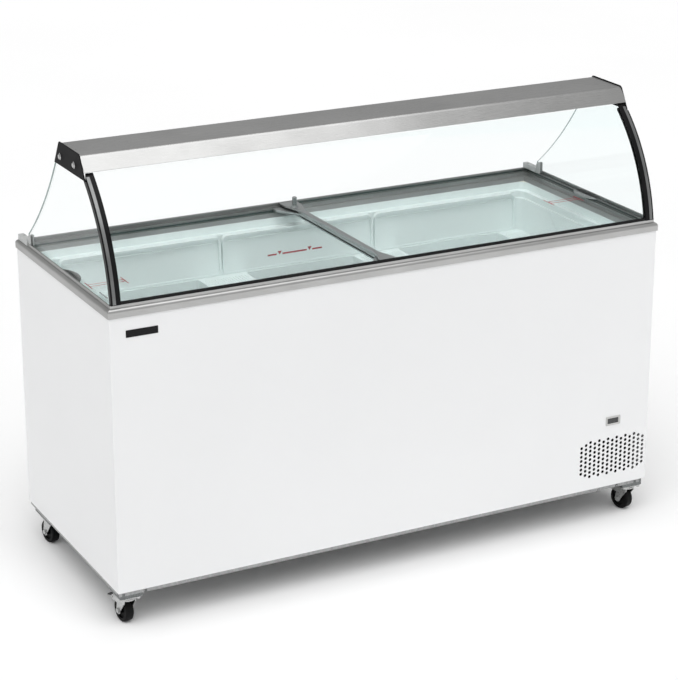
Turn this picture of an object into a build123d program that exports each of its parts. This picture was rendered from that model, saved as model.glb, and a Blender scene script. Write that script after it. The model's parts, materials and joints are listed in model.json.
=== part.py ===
from build123d import *
import os
from math import cos, radians, sin, sqrt

# Scooping freezer: an insulated chest on four castors, with two sliding glass lids
# and a curved glass canopy. Millimetres. The origin is on the floor below the middle
# of the cabinet; +X is right, the front faces -Y and +Z is up.

# ---------------------------------------------------------------- driving dimensions
BODY_W = 1508.0          # width over the sheet-steel panels
BODY_D = 618.0           # depth over the panels
BODY_Z = 96.0            # underside of the panels above the floor
TRIM_Z = 786.0           # top of the panels, where the top frame starts
SHEET = 1.0              # panel thickness
HEM = 15.0               # width of the hem along the foot of each panel

HALF_W = BODY_W / 2
HALF_D = BODY_D / 2
FRONT_Y = -HALF_D
REAR_Y = HALF_D

# top frame, measured inwards from the panel face and upwards from TRIM_Z
TRIM_OUT = 3.0           # overhang of the frame past the panels
LAND_Z = 22.0            # flat top of the frame
RIB_Z = 29.3             # top of the upright rib that holds the canopy
RIB_IN = 5.2             # outer face of that rib
SIDE_RIB = 3.2           # rib thickness on the side bars
FRONT_RIB = 8.8          # rib thickness on the front bar
UPPER_TRACK = (13.2, 24.0, 14.0)   # upper lid track: from, to, height
LOWER_TRACK = (24.0, 33.0, 4.0)    # lower lid track: from, to, height
FRAME_IN = 36.0          # inner edge of the frame
FRAME_LEG = -8.0         # foot of the frame's inner leg
LID_GAP = 0.4            # clearance of the lids in their tracks

# liner
PAD_Z = TRIM_Z - 133.0   # ridged pads between the wells
WELL_PITCH = 453.0
WELL_W = 318.0
WELL_D = 464.0
DEEP_FLOOR = 156.0       # floor of the left and middle wells
SHALLOW_FLOOR = 416.0    # floor of the right well, over the compressor
LINER_T = 2.0

# compressor compartment at the right lower end
BAY_X = 424.0
BAY_TOP = 366.0

# canopy, with its arc centre in the YZ plane
ARC_Y = FRONT_Y + 452.5
ARC_Z = TRIM_Z - 36.0
PROFILE_R = 455.0        # outer face of the corner profiles
PROFILE_T = 12.0
GLASS_R = 453.0          # outer face of the curved front glass
GLASS_T = 6.0
SEAL_H = 5.7
CAP_Z = TRIM_Z + 289.0   # lower edge of the end caps
SIDE_GLASS_IN = 9.0      # outer face of the side glasses, inwards from the panels
SIDE_GLASS_T = 4.0
CAP_T = 2.5
COVER_T = 1.5

# castors
WHEEL_R = 30.0
WHEEL_W = 22.0
TRAIL = 16.0
CASTOR_X = HALF_W - 34.0
CASTOR_FRONT_Y = FRONT_Y + 32.0
CASTOR_REAR_Y = REAR_Y - 82.0
PLATE_Z = 76.0           # top of the castor plates, under their brackets
AXLE_R = 4.0
PIN_R = 5.0

CASTORS = {              # name: (x, y, swivel angle at rest in degrees)
    "front_left": (-CASTOR_X, CASTOR_FRONT_Y, 8.0),
    "front_right": (CASTOR_X, CASTOR_FRONT_Y, 14.0),
    "rear_left": (-CASTOR_X, CASTOR_REAR_Y, 10.0),
    "rear_right": (CASTOR_X, CASTOR_REAR_Y, -12.0),
}

os.makedirs("parts", exist_ok=True)


def save(piece, name):
    """Label a finished piece and write it as its own STEP file."""
    piece.part.label = name
    export_step(piece.part, f"parts/{name}.step")


def box(x, y, z, mode=Mode.ADD):
    """A box given by its (low, high) pairs along X, Y and Z."""
    middle = ((x[0] + x[1]) / 2, (y[0] + y[1]) / 2, (z[0] + z[1]) / 2)
    with Locations(middle):
        Box(x[1] - x[0], y[1] - y[0], z[1] - z[0], mode=mode)


def arc_y(radius, z):
    """Y of the canopy arc of a given radius at height z."""
    return ARC_Y - sqrt(radius**2 - (z - ARC_Z) ** 2)


def canopy_band(outer, inner, z_foot, y_end):
    """Sketch of a ring sector of the canopy arc, above z_foot and in front of y_end."""
    with Locations((ARC_Y, ARC_Z)):
        Circle(outer)
        Circle(inner, mode=Mode.SUBTRACT)
    height = TRIM_Z + 400 - z_foot
    with Locations(((FRONT_Y - 20 + y_end) / 2, z_foot + height / 2)):
        Rectangle(y_end - FRONT_Y + 20, height, mode=Mode.INTERSECT)


# ---------------------------------------------------------------- outer panels
MID_Z = (BODY_Z + TRIM_Z) / 2
PANEL_H = TRIM_Z - BODY_Z

VENT_PITCH_X = 13.7
VENT_PITCH_Z = 12.1
VENT_COLUMNS = 15
VENT_LAST_X = HALF_W - 12.6
VENT_MID_Z = BODY_Z + 86.0
VENT_R = 4.3

vent_holes = []
for column in range(VENT_COLUMNS):
    x = VENT_LAST_X - (VENT_COLUMNS - 1 - column) * VENT_PITCH_X
    count = 8 if column % 2 else 9
    if column in (0, VENT_COLUMNS - 1):
        count = 7
    for row in range(count):
        vent_holes.append((x, VENT_MID_Z + (row - (count - 1) / 2) * VENT_PITCH_Z))

DISPLAY_X = HALF_W - 109.5
DISPLAY_Z = BODY_Z + 184.8

with BuildPart() as front_panel:
    with BuildSketch(Plane.XZ.offset(HALF_D)):
        with Locations((0, MID_Z)):
            Rectangle(BODY_W, PANEL_H)
        with Locations(*vent_holes):
            Circle(VENT_R, mode=Mode.SUBTRACT)
        with Locations((DISPLAY_X, DISPLAY_Z)):
            Rectangle(38, 18, mode=Mode.SUBTRACT)
    extrude(amount=-SHEET)
    hem_x = HALF_W - SHEET - HEM
    box((-hem_x, hem_x), (FRONT_Y + SHEET, FRONT_Y + HEM), (BODY_Z, BODY_Z + SHEET))
    box((-hem_x, hem_x), (FRONT_Y + SHEET, FRONT_Y + HEM), (TRIM_Z - SHEET, TRIM_Z))
save(front_panel, "front_panel")

for side, name in ((-1, "left_side_panel"), (1, "right_side_panel")):
    with BuildPart() as side_panel:
        outer = side * HALF_W
        skin = sorted((outer, outer - side * SHEET))
        lip = sorted((outer - side * SHEET, outer - side * HEM))
        box(skin, (FRONT_Y + SHEET, REAR_Y - SHEET), (BODY_Z, TRIM_Z))
        box(lip, (FRONT_Y + SHEET, REAR_Y - SHEET), (BODY_Z, BODY_Z + SHEET))
        box(lip, (FRONT_Y + SHEET, REAR_Y - SHEET), (TRIM_Z - SHEET, TRIM_Z))
    save(side_panel, name)

SLOT_ROWS = 9
SLOT_PITCH = 16.0
KNOB_X = 600.0
KNOB_Z = BODY_Z + 225.0
INLET_X = 520.0
INLET_Z = BODY_Z + 225.0

with BuildPart() as rear_panel:
    with BuildSketch(Plane.XZ.offset(-HALF_D)):
        with Locations((0, MID_Z)):
            Rectangle(BODY_W, PANEL_H)
        with Locations((565, BODY_Z + 100)):
            with GridLocations(80, SLOT_PITCH, 3, SLOT_ROWS):
                SlotOverall(64, 7, mode=Mode.SUBTRACT)
        with Locations((KNOB_X, KNOB_Z)):
            Circle(3.1, mode=Mode.SUBTRACT)
        with Locations((INLET_X, INLET_Z)):
            Circle(8, mode=Mode.SUBTRACT)
    extrude(amount=SHEET)
    box((-hem_x, hem_x), (REAR_Y - HEM, REAR_Y - SHEET), (BODY_Z, BODY_Z + SHEET))
    box((-hem_x, hem_x), (REAR_Y - HEM, REAR_Y - SHEET), (TRIM_Z - SHEET, TRIM_Z))
save(rear_panel, "rear_panel")

# ---------------------------------------------------------------- base and castor fixings
PAN_T = 1.5
FLANGE_Z = BODY_Z - 10.0
PAN_Z = BODY_Z - PAN_T
FLANGE_IN = 3.0
NOTCHES = (-HALF_W + 14, -HALF_W + 71, HALF_W - 146, HALF_W - 87, HALF_W - 29)
DRAIN_X = -WELL_PITCH
DRAIN_R = 9.0

with BuildPart() as base_pan:
    pan_x = HALF_W - FLANGE_IN
    pan_y = HALF_D - FLANGE_IN
    box((-pan_x, pan_x), (-pan_y, pan_y), (PAN_Z, BODY_Z))
    box((-pan_x, pan_x - 12), (-pan_y, -pan_y + PAN_T), (FLANGE_Z, PAN_Z))
    box((-pan_x, pan_x), (pan_y - PAN_T, pan_y), (FLANGE_Z, PAN_Z))
    for side in (-1, 1):
        edge = sorted((side * pan_x, side * (pan_x - PAN_T)))
        box(edge, (-pan_y + HEM, pan_y - PAN_T), (FLANGE_Z, PAN_Z))
    with Locations((DRAIN_X, 0, PAN_Z)):
        Cylinder(DRAIN_R, 10, mode=Mode.SUBTRACT)
    with Locations(*[(x, -pan_y, FLANGE_Z) for x in NOTCHES]):
        Box(7, 10, 14, mode=Mode.SUBTRACT)
    with Locations((565, 0, PAN_Z)):
        with GridLocations(60, 30, 4, 5):
            Box(40, 8, 10, mode=Mode.SUBTRACT)
save(base_pan, "base_pan")

BRACKET_T = 2.5
FRONT_BRACKET = (FRONT_Y + 6, FRONT_Y + 78)
REAR_BRACKET = (REAR_Y - 129, REAR_Y - 27)
BRACKET_X = (HALF_W - 66, HALF_W - 6)

with BuildPart() as castor_brackets:
    for side in (-1, 1):
        for y_span in (FRONT_BRACKET, REAR_BRACKET):
            x_span = sorted((side * BRACKET_X[0], side * BRACKET_X[1]))
            box(x_span, y_span, (PLATE_Z, PAN_Z))
            inner_x = (x_span[0] + BRACKET_T, x_span[1] - BRACKET_T)
            inner_y = (y_span[0] + PAN_T, y_span[1])
            box(inner_x, inner_y, (PLATE_Z + BRACKET_T, PAN_Z), mode=Mode.SUBTRACT)
    for x, y, angle in CASTORS.values():
        with Locations((x, y, PLATE_Z)):
            with GridLocations(42, 42, 2, 2):
                Cylinder(3.2, 12, mode=Mode.SUBTRACT)
save(castor_brackets, "castor_brackets")

RACE_R = 18.0
CROWN_TOP = 68.0
CROWN_T = 3.0

with BuildPart() as castor_plates:
    for x, y, angle in CASTORS.values():
        with BuildSketch(Plane.XY.offset(PLATE_Z)):
            with Locations((x, y)):
                RectangleRounded(54, 54, 5)
                with GridLocations(42, 42, 2, 2):
                    Circle(3.2, mode=Mode.SUBTRACT)
        extrude(amount=-2.5)
        with BuildSketch(Plane.XY.offset(PLATE_Z - 2.5)):
            with Locations((x, y)):
                Circle(RACE_R)
        extrude(amount=-(PLATE_Z - 2.5 - CROWN_TOP - 0.3), taper=12)
        with BuildSketch(Plane.XY.offset(CROWN_TOP + 0.3)):
            with Locations((x, y)):
                Circle(PIN_R)
        extrude(amount=-(CROWN_T + 0.6))
        with BuildSketch(Plane.XY.offset(CROWN_TOP - CROWN_T - 0.3)):
            with Locations((x, y)):
                Circle(7.5)
        extrude(amount=-2.5)
save(castor_plates, "castor_plates")

with BuildPart() as castor_bolts:
    for x, y, angle in CASTORS.values():
        with BuildSketch(Plane.XY.offset(PLATE_Z - 2.5)):
            with Locations((x, y)):
                with GridLocations(42, 42, 2, 2):
                    RegularPolygon(5, 6)
        extrude(amount=-4)
        with BuildSketch(Plane.XY.offset(PLATE_Z - 2.5)):
            with Locations((x, y)):
                with GridLocations(42, 42, 2, 2):
                    Circle(3)
        extrude(amount=10)
save(castor_bolts, "castor_bolts")

# ---------------------------------------------------------------- liner, drain and foam
STEP_TOP = TRIM_Z - 28.0
STEP_LOW = TRIM_Z - 46.0
LINER_TOP = TRIM_Z + FRAME_LEG
TOP_INSET = FRAME_IN + 2.0
LEDGE_INSET = 54.0
WALL_INSET = 60.0
FOOT_INSET = 70.0
WELLS = ((-WELL_PITCH, DEEP_FLOOR), (0.0, DEEP_FLOOR), (WELL_PITCH, SHALLOW_FLOOR))

with BuildPart() as inner_liner:
    for inset, low_z, high_z in (
        (TOP_INSET - LINER_T, STEP_TOP - LINER_T, LINER_TOP),
        (LEDGE_INSET - LINER_T, STEP_LOW - LINER_T, STEP_TOP),
        (WALL_INSET - 2 * LINER_T, PAD_Z - LINER_T, STEP_LOW),
    ):
        with BuildSketch(Plane.XY.offset(low_z)):
            RectangleRounded(BODY_W - 2 * inset, BODY_D - 2 * inset, 24)
        extrude(amount=high_z - low_z)
    for inset, low_z, high_z in (
        (TOP_INSET, STEP_TOP, LINER_TOP),
        (LEDGE_INSET, STEP_LOW, STEP_TOP),
    ):
        with BuildSketch(Plane.XY.offset(low_z)):
            RectangleRounded(BODY_W - 2 * inset, BODY_D - 2 * inset, 24)
        extrude(amount=high_z - low_z, mode=Mode.SUBTRACT)
    with BuildSketch(Plane.XY.offset(STEP_LOW)):
        RectangleRounded(BODY_W - 2 * WALL_INSET, BODY_D - 2 * WALL_INSET, 22)
    with BuildSketch(Plane.XY.offset(PAD_Z)):
        RectangleRounded(BODY_W - 2 * FOOT_INSET, BODY_D - 2 * FOOT_INSET, 20)
    loft(mode=Mode.SUBTRACT)
    for well_x, floor_z in WELLS:
        with BuildSketch(Plane.XY.offset(floor_z - LINER_T)):
            with Locations((well_x, 0)):
                RectangleRounded(WELL_W + 2 * LINER_T, WELL_D + 2 * LINER_T, 9)
        extrude(amount=PAD_Z - LINER_T - floor_z + LINER_T)
        with BuildSketch(Plane.XY.offset(floor_z)):
            with Locations((well_x, 0)):
                RectangleRounded(WELL_W, WELL_D, 7)
        extrude(amount=PAD_Z - floor_z, mode=Mode.SUBTRACT)
    # beads that frame each bay of the front and rear walls
    bead_low = PAD_Z + 0.5
    for bay in (-1, 0, 1):
        for wall in (-1, 1):
            near = wall * (HALF_D - LEDGE_INSET - 6.0)
            with BuildSketch(Plane.XZ.offset(-near)):
                with Locations((bay * 448.0, (STEP_TOP + 1 + bead_low) / 2)):
                    RectangleRounded(443, STEP_TOP + 1 - bead_low, 14)
                    RectangleRounded(433, STEP_TOP - 9 - bead_low, 10, mode=Mode.SUBTRACT)
            extrude(amount=wall * 12.0)
    # ridges across the pads
    for pad_x in (-1.5 * WELL_PITCH, -0.5 * WELL_PITCH, 0.5 * WELL_PITCH, 1.5 * WELL_PITCH):
        inward = 0 if abs(pad_x) < WELL_PITCH else (-1 if pad_x > 0 else 1)
        ridge_count = 14 if inward == 0 else 6
        for ridge in range(ridge_count):
            ridge_x = pad_x + (ridge - (ridge_count - 1) / 2) * 8.6 + inward * 33.0
            with Locations((ridge_x, 0, PAD_Z)):
                Box(4.0, WELL_D - 40, 3.2)
    with Locations((DRAIN_X, 0, DEEP_FLOOR - 1)):
        Cylinder(DRAIN_R, 6, mode=Mode.SUBTRACT)
save(inner_liner, "inner_liner")

with BuildPart() as drain_fitting:
    with BuildSketch(Plane.XY.offset(PAN_Z - 8)):
        with Locations((DRAIN_X, 0)):
            Circle(DRAIN_R)
            Circle(DRAIN_R - 1.5, mode=Mode.SUBTRACT)
    extrude(amount=DEEP_FLOOR - PAN_Z + 8)
    with BuildSketch(Plane.XY.offset(DEEP_FLOOR)):
        with Locations((DRAIN_X, 0)):
            Circle(16)
    extrude(amount=4)
    fillet(drain_fitting.edges().group_by(Axis.Z)[-1], 1.5)
save(drain_fitting, "drain_fitting")

with BuildPart() as foam_insulation:
    foam_x = HALF_W - SHEET
    foam_y = HALF_D - SHEET
    box((-foam_x, foam_x), (-foam_y, foam_y), (BODY_Z + SHEET, TRIM_Z - SHEET))
    box((BAY_X, foam_x), (-foam_y, foam_y), (BODY_Z + SHEET, BAY_TOP), mode=Mode.SUBTRACT)
    for inset, corner_r, low_z, high_z in (
        (FRAME_IN - 7, 1, LINER_TOP, TRIM_Z),
        (TOP_INSET - LINER_T, 24, STEP_TOP - LINER_T, LINER_TOP),
        (LEDGE_INSET - LINER_T, 24, STEP_LOW - LINER_T, STEP_TOP),
        (WALL_INSET - 2 * LINER_T, 24, PAD_Z - LINER_T, STEP_LOW),
    ):
        with BuildSketch(Plane.XY.offset(low_z)):
            RectangleRounded(BODY_W - 2 * inset, BODY_D - 2 * inset, corner_r)
        extrude(amount=high_z - low_z, mode=Mode.SUBTRACT)
    for well_x, floor_z in WELLS:
        with BuildSketch(Plane.XY.offset(floor_z - LINER_T)):
            with Locations((well_x, 0)):
                RectangleRounded(WELL_W + 2 * LINER_T, WELL_D + 2 * LINER_T, 9)
        extrude(amount=PAD_Z - floor_z, mode=Mode.SUBTRACT)
    with Locations((DRAIN_X, 0, BODY_Z)):
        Cylinder(DRAIN_R, 3 * (DEEP_FLOOR - BODY_Z), mode=Mode.SUBTRACT)
save(foam_insulation, "foam_insulation")

# ---------------------------------------------------------------- top frame bars
WALL_T = 2.2
SHOULDER_Z = 11.5        # top of the flat outer face
GROOVES = ((UPPER_TRACK[0], 18.2), (LOWER_TRACK[0], 10.0))     # shadow lines
CHAMBERS = (             # hollows of the extrusion: low corner, high corner
    ((0.0, WALL_T), (8.5, 15.5)),
    ((10.7, WALL_T), (20.5, UPPER_TRACK[2] - WALL_T)),
    ((22.7, 1.2), (28.0, LOWER_TRACK[2] - 1.6)),
)


def upright_outline(rib):
    """Outline of a bar from its rounded shoulder over the tracks to its foot."""
    points = [(RIB_IN, LAND_Z)]
    if rib:
        points += [(RIB_IN, RIB_Z), (RIB_IN + rib, RIB_Z), (RIB_IN + rib, LAND_Z)]
    points += [
        (UPPER_TRACK[0], LAND_Z),
        (UPPER_TRACK[0], UPPER_TRACK[2]),
        (UPPER_TRACK[1], UPPER_TRACK[2]),
        (LOWER_TRACK[0], LOWER_TRACK[2]),
        (LOWER_TRACK[1], LOWER_TRACK[2]),
        (FRAME_IN, FRAME_LEG),
        (FRAME_IN - 4, FRAME_LEG),
        (FRAME_IN - 6, 0),
        (-TRIM_OUT, 0),
    ]
    return points


FRAME_BARS = (           # name, inward direction, half depth, half length, rib thickness
    ("top_frame_front", (0, 1, 0), HALF_D, HALF_W, FRONT_RIB),
    ("top_frame_rear", (0, -1, 0), HALF_D, HALF_W, 0),
    ("top_frame_left", (1, 0, 0), HALF_W, HALF_D, SIDE_RIB),
    ("top_frame_right", (-1, 0, 0), HALF_W, HALF_D, SIDE_RIB),
)
for name, inward, half_depth, half_length, rib in FRAME_BARS:
    inward = Vector(*inward)
    run = inward.cross(Vector(0, 0, 1))
    origin = inward * -half_depth + Vector(0, 0, TRIM_Z)
    with BuildPart() as frame_bar:
        with BuildSketch(Plane(origin=origin, x_dir=inward, z_dir=run)):
            with BuildLine():
                Line((-TRIM_OUT, 0), (-TRIM_OUT, SHOULDER_Z))
                ThreePointArc((-TRIM_OUT, SHOULDER_Z), (-0.9, 18.6), (RIB_IN, LAND_Z))
                Polyline(*upright_outline(rib))
            make_face()
            for groove_x, groove_z in GROOVES:
                with Locations((groove_x - 0.7, groove_z)):
                    Rectangle(1.6, 1.6, mode=Mode.SUBTRACT)
            for low, high in CHAMBERS:
                with Locations(((low[0] + high[0]) / 2, (low[1] + high[1]) / 2)):
                    Rectangle(high[0] - low[0], high[1] - low[1], mode=Mode.SUBTRACT)
        extrude(amount=half_length + TRIM_OUT, both=True)
        for end in (-1, 1):
            corner = origin + run * (end * half_length)
            mitre = Plane(origin=corner, z_dir=inward + run * end)
            split(bisect_by=mitre, keep=Keep.BOTTOM)
    save(frame_bar, name)

# ---------------------------------------------------------------- badge and display
with BuildPart() as badge_plate:
    with BuildSketch(Plane.XZ.offset(HALF_D)):
        with Locations((-HALF_W + 80, TRIM_Z - 42)):
            RectangleRounded(80, 18, 1.5)
    extrude(amount=1.0)
    chamfer(badge_plate.faces().sort_by(Axis.Y)[0].edges(), 0.3)
save(badge_plate, "badge_plate")

with BuildPart() as display_bezel:
    with BuildSketch(Plane.XZ.offset(HALF_D)):
        with Locations((DISPLAY_X, DISPLAY_Z)):
            RectangleRounded(45, 25, 2.5)
    extrude(amount=2.0)
    chamfer(display_bezel.faces().sort_by(Axis.Y)[0].edges(), 0.8)
    with BuildSketch(Plane.XZ.offset(HALF_D)):
        with Locations((DISPLAY_X, DISPLAY_Z)):
            Rectangle(37.6, 17.6)
    extrude(amount=-20)
    with BuildSketch(Plane.XZ.offset(HALF_D + 2)):
        with Locations((DISPLAY_X - 1.2, DISPLAY_Z + 0.2)):
            Rectangle(34, 15)
    extrude(amount=-1.6, mode=Mode.SUBTRACT)
save(display_bezel, "display_bezel")

with BuildPart() as display_window:
    with BuildSketch(Plane.XZ.offset(HALF_D + 0.4)):
        with Locations((DISPLAY_X - 1.2, DISPLAY_Z + 0.2)):
            Rectangle(34, 15)
    extrude(amount=0.9)
save(display_window, "display_window")

# ---------------------------------------------------------------- refrigeration unit
COMPRESSOR_X = 640.0
COMPRESSOR_Y = 190.0
COMPRESSOR_Z = BODY_Z + 14.0

with BuildPart() as compressor:
    with BuildSketch(Plane.XY.offset(COMPRESSOR_Z + 2)):
        with Locations((COMPRESSOR_X, COMPRESSOR_Y)):
            Ellipse(70, 58)
    extrude(amount=140)
    fillet(compressor.edges().group_by(Axis.Z)[-1], 34)
    fillet(compressor.edges().group_by(Axis.Z)[0], 14)
    with BuildSketch(Plane.XY.offset(COMPRESSOR_Z)):
        with Locations((COMPRESSOR_X, COMPRESSOR_Y)):
            RectangleRounded(180, 112, 12)
            with GridLocations(160, 92, 2, 2):
                Circle(4.2, mode=Mode.SUBTRACT)
    extrude(amount=3)
    box((COMPRESSOR_X - 98, COMPRESSOR_X - 64), (COMPRESSOR_Y - 22, COMPRESSOR_Y + 22),
        (COMPRESSOR_Z + 50, COMPRESSOR_Z + 105))
save(compressor, "compressor")

with BuildPart() as compressor_feet:
    for height, radius in ((COMPRESSOR_Z - BODY_Z, 10.0), (COMPRESSOR_Z - BODY_Z + 6, 4.0)):
        with BuildSketch(Plane.XY.offset(BODY_Z)):
            with Locations((COMPRESSOR_X, COMPRESSOR_Y)):
                with GridLocations(160, 92, 2, 2):
                    Circle(radius)
        extrude(amount=height)
save(compressor_feet, "compressor_feet")

COIL_X = (BAY_X + 16, HALF_W - 40)
COIL_Y = (FRONT_Y + 14, FRONT_Y + 58)
COIL_Z = (BODY_Z + 8, BODY_Z + 158)
COIL_MID = (COIL_X[0] + COIL_X[1]) / 2

with BuildPart() as condenser:
    for x in COIL_X:
        box((x - 1, x + 1), COIL_Y, COIL_Z)
    fin_count = 34
    fin_pitch = (COIL_X[1] - COIL_X[0]) / (fin_count + 1)
    for fin in range(fin_count):
        fin_x = COIL_X[0] + (fin + 1) * fin_pitch
        box((fin_x - 0.4, fin_x + 0.4), (COIL_Y[0] + 2, COIL_Y[1] - 2), (COIL_Z[0] + 2, COIL_Z[1] - 2))
    for row_z in range(5):
        for row_y in range(2):
            tube_y = COIL_Y[0] + 12 + row_y * 20
            tube_z = COIL_Z[0] + 15 + row_z * 30
            with BuildSketch(Plane.YZ.offset(COIL_X[0] - 6)):
                with Locations((tube_y, tube_z)):
                    Circle(4)
            extrude(amount=COIL_X[1] - COIL_X[0] + 12)
save(condenser, "condenser")

FAN_Z = (COIL_Z[0] + COIL_Z[1]) / 2
FAN_R = 66.0

with BuildPart() as fan_shroud:
    with BuildSketch(Plane.XZ.offset(-COIL_Y[1])):
        with Locations((COIL_MID, FAN_Z)):
            Rectangle(COIL_X[1] - COIL_X[0], COIL_Z[1] - COIL_Z[0])
            Circle(FAN_R + 4, mode=Mode.SUBTRACT)
    extrude(amount=-1.5)
    with BuildSketch(Plane.XZ.offset(-COIL_Y[1])):
        with Locations((COIL_MID, FAN_Z)):
            Circle(FAN_R + 5.5)
            Circle(FAN_R + 4, mode=Mode.SUBTRACT)
    extrude(amount=-28)
    for height in (-1, 1):
        strap_z = FAN_Z + height * 14
        box((COIL_MID - FAN_R - 5, COIL_MID + FAN_R + 5), (COIL_Y[1] + 28, COIL_Y[1] + 30),
            (strap_z - 5, strap_z + 5))
save(fan_shroud, "fan_shroud")

with BuildPart() as fan_motor:
    with BuildSketch(Plane.XZ.offset(-(COIL_Y[1] + 30))):
        with Locations((COIL_MID, FAN_Z)):
            Circle(24)
    extrude(amount=-40)
    fillet(fan_motor.faces().sort_by(Axis.Y)[-1].edges(), 6)
    with BuildSketch(Plane.XZ.offset(-(COIL_Y[1] + 30))):
        with Locations((COIL_MID, FAN_Z)):
            Circle(3)
    extrude(amount=22)
save(fan_motor, "fan_motor")

with BuildPart() as fan_blades:
    with BuildSketch(Plane.XZ.offset(-(COIL_Y[1] + 25))):
        with Locations((COIL_MID, FAN_Z)):
            Circle(16)
    extrude(amount=16)
    for blade in range(5):
        angle = radians(blade * 72 + 20)
        middle = Vector(COIL_MID + 38 * cos(angle), COIL_Y[1] + 17, FAN_Z + 38 * sin(angle))
        radial = Vector(cos(angle), 0, sin(angle))
        around = Vector(-sin(angle), 0, cos(angle))
        normal = (Vector(0, 1, 0) * cos(radians(28)) + around * sin(radians(28)))
        with BuildSketch(Plane(origin=middle, x_dir=radial, z_dir=normal)):
            Trapezoid(30, 52, 80, rotation=90)
        extrude(amount=0.8, both=True)
    with BuildSketch(Plane.XZ.offset(-(COIL_Y[1] + 26))):
        with Locations((COIL_MID, FAN_Z)):
            Circle(3.06)
    extrude(amount=20, mode=Mode.SUBTRACT)
    with BuildSketch(Plane.XZ.offset(-(COIL_Y[1] + 40))):
        with Locations((COIL_MID, FAN_Z)):
            Circle(FAN_R)
    extrude(amount=60, mode=Mode.INTERSECT)
save(fan_blades, "fan_blades")

PIPE_R = 3.5
PIPE_TOP = COMPRESSOR_Z + 190.0
with BuildPart() as refrigerant_line:
    with BuildLine() as pipe_path:
        FilletPolyline(
            (COIL_X[1] - 14, COIL_Y[1] + 4, COIL_Z[1] + 10),
            (COIL_X[1] - 14, COIL_Y[1] + 4, PIPE_TOP),
            (COIL_X[1] - 14, COMPRESSOR_Y - 80, PIPE_TOP),
            (COMPRESSOR_X, COMPRESSOR_Y - 80, PIPE_TOP),
            (COMPRESSOR_X, COMPRESSOR_Y - 80, COMPRESSOR_Z + 90),
            radius=12,
        )
    with BuildSketch(Plane(origin=pipe_path.line @ 0, z_dir=pipe_path.line % 0)):
        Circle(PIPE_R)
    sweep()
    with BuildSketch(Plane.XZ.offset(-(COIL_Y[1] + 60))):
        with Locations((COIL_X[1] - 14, PIPE_TOP)):
            Circle(11)
    extrude(amount=-90)
    fillet(refrigerant_line.faces().filter_by(Plane.XZ).edges().filter_by(GeomType.CIRCLE), 2)
save(refrigerant_line, "refrigerant_line")

with BuildPart() as electrical_box:
    box((INLET_X - 55, INLET_X + 30), (REAR_Y - 60, REAR_Y - SHEET), (INLET_Z - 30, INLET_Z + 34))
    fillet(electrical_box.edges().filter_by(Axis.Y), 4)
    with BuildSketch(Plane.XZ.offset(-(REAR_Y - SHEET))):
        with Locations((INLET_X, INLET_Z)):
            Circle(8)
    extrude(amount=20, mode=Mode.SUBTRACT)
save(electrical_box, "electrical_box")

with BuildPart() as cable_inlet:
    with BuildSketch(Plane.XZ.offset(-(REAR_Y - 14))):
        with Locations((INLET_X, INLET_Z)):
            Circle(8)
    extrude(amount=-14)
    with BuildSketch(Plane.XZ.offset(-REAR_Y)):
        with Locations((INLET_X, INLET_Z)):
            Circle(11)
    extrude(amount=-2.6)
    fillet(cable_inlet.faces().sort_by(Axis.Y)[-1].edges(), 1)
    with BuildSketch(Plane.XZ.offset(-(REAR_Y + 2.6))):
        with Locations((INLET_X, INLET_Z)):
            Circle(4.2)
    extrude(amount=20, mode=Mode.SUBTRACT)
save(cable_inlet, "cable_inlet")

with BuildPart() as thermostat_knob:
    with BuildSketch(Plane.XZ.offset(-(REAR_Y + 0.3))):
        with Locations((KNOB_X, KNOB_Z)):
            Circle(13)
    extrude(amount=-2.6)
    with BuildSketch(Plane.XZ.offset(-(REAR_Y - 10))):
        with Locations((KNOB_X, KNOB_Z)):
            Circle(3)
    extrude(amount=-11)
    fillet(thermostat_knob.faces().sort_by(Axis.Y)[-1].edges(), 1)
    box((KNOB_X - 0.8, KNOB_X + 0.8), (REAR_Y + 2.2, REAR_Y + 3), (KNOB_Z + 2, KNOB_Z + 12),
        mode=Mode.SUBTRACT)
save(thermostat_knob, "thermostat_knob")

# ---------------------------------------------------------------- canopy glass and profiles
GLASS_FOOT = TRIM_Z + RIB_Z + SEAL_H
COVER_FRONT = (FRONT_Y + 145, TRIM_Z + 308)
COVER_BEND = (FRONT_Y + 172, TRIM_Z + 343.5)
COVER_REAR = (FRONT_Y + 301, TRIM_Z + 344.5)
COVER_SKIRT = (FRONT_Y + 333, TRIM_Z + 296)
PROFILE_IN = 8.0
PROFILE_W = 24.0
STRIP_IN = 4.0           # satin strip, inwards from the outer edge of the profile
STRIP_W = 8.0
GLASS_EDGE_IN = 20.0

with BuildPart() as front_glass:
    with BuildSketch(Plane.YZ):
        canopy_band(GLASS_R, GLASS_R - GLASS_T, GLASS_FOOT, FRONT_Y + 158)
    extrude(amount=HALF_W - GLASS_EDGE_IN, both=True)
save(front_glass, "front_glass")

with BuildPart() as front_glass_seal:
    seal_y = (arc_y(GLASS_R, GLASS_FOOT) - 1.5, arc_y(GLASS_R - GLASS_T, GLASS_FOOT) + 1.5)
    seal_x = HALF_W - PROFILE_IN - PROFILE_W
    box((-seal_x, seal_x), seal_y, (TRIM_Z + RIB_Z, GLASS_FOOT))
    fillet(front_glass_seal.edges().filter_by(Axis.X).group_by(Axis.Z)[-1], 1.2)
save(front_glass_seal, "front_glass_seal")

with BuildPart() as corner_strips:
    for side in (-1, 1):
        strip_x = side * (HALF_W - PROFILE_IN - STRIP_IN)
        with BuildSketch(Plane.YZ.offset(strip_x)):
            canopy_band(PROFILE_R + 0.5, PROFILE_R - 1.2, TRIM_Z + RIB_Z + 1.5, FRONT_Y + 143)
        extrude(amount=-side * STRIP_W)
save(corner_strips, "corner_strips")

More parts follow.
